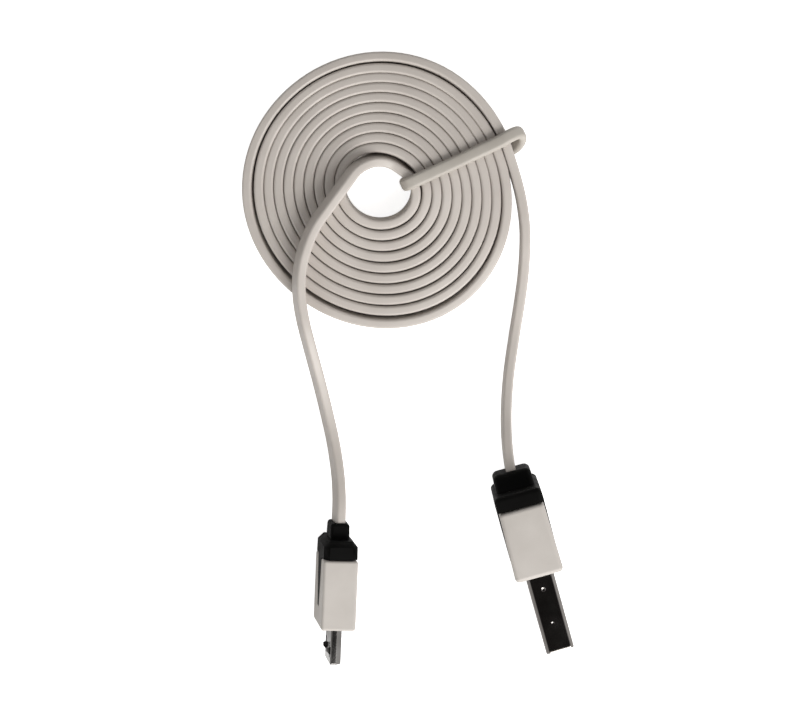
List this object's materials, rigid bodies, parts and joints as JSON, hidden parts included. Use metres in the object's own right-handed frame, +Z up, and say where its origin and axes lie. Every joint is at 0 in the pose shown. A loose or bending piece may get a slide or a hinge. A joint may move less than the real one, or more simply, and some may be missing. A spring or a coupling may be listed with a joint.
{
  "type": "charging cable",
  "caption": "Flat charging lead wound on edge into a tied spiral coil, with a full-size USB plug on one end and a micro plug with two sprung latch hooks on the other.",
  "frame": {"origin": "on the table under the middle of the two plugs' common box, without the free lead", "axes": "+Z up from the table; +X across from the micro plug to the full-size plug; +Y from the plugs towards the coil"},
  "size_m": [0.0528, 0.0965, 0.0159],
  "materials": {
    "cable_jacket": "soft satin flat jacket, warm off-white",
    "cable_tie": "soft coated tie, warm off-white",
    "sleeve": "smooth off-white moulded sleeve",
    "overmould": "black satin moulded grip",
    "plug_shell": "nickel-plated folded sheet, dark reflections",
    "latch_spring": "dark spring steel",
    "contact": "gold-flashed strip",
    "tongue": "black glass-filled plastic",
    "inner_mould": "natural moulded plastic",
    "wire_red": "red insulation",
    "wire_white": "white insulation",
    "wire_green": "green insulation",
    "wire_black": "black insulation"
  },
  "bodies": {
    "cable": {"cable_coil": "cable_jacket", "cable_run_usb_a": "cable_jacket", "cable_run_micro": "cable_jacket", "cable_tie": "cable_tie", "usb_a_shell": "plug_shell", "usb_a_insulator": "tongue", "usb_a_inner_mould": "inner_mould", "usb_a_overmould": "overmould", "usb_a_sleeve": "sleeve", "usb_a_contact_1": "contact", "usb_a_contact_2": "contact", "usb_a_contact_3": "contact", "usb_a_contact_4": "contact", "usb_a_wire_power": "wire_red", "usb_a_wire_data_minus": "wire_white", "usb_a_wire_data_plus": "wire_green", "usb_a_wire_ground": "wire_black", "micro_shell": "plug_shell", "micro_insulator": "tongue", "micro_inner_mould": "inner_mould", "micro_overmould": "overmould", "micro_sleeve": "sleeve", "micro_contact_1": "contact", "micro_contact_2": "contact", "micro_contact_3": "contact", "micro_contact_4": "contact", "micro_contact_5": "contact", "micro_wire_power": "wire_red", "micro_wire_data_minus": "wire_white", "micro_wire_data_plus": "wire_green", "micro_wire_ground": "wire_black"},
    "latch_left": {"micro_latch_left": "latch_spring"},
    "latch_right": {"micro_latch_right": "latch_spring"}
  },
  "joints": [
    {"name": "latch_left_press", "type": "hinge", "parent": "cable", "child": "latch_left", "pos_m": [-0.01789, -0.00821, 0.00327], "axis": [0.1045, -0.004, 0.9945], "range_deg": [0, 5.5], "stiffness_Nm_per_rad": 0.1},
    {"name": "latch_right_press", "type": "hinge", "parent": "cable", "child": "latch_right", "pos_m": [-0.01742, -0.00823, 0.00774], "axis": [0.1045, -0.004, 0.9945], "range_deg": [0, 5.5], "stiffness_Nm_per_rad": 0.1}
  ]
}
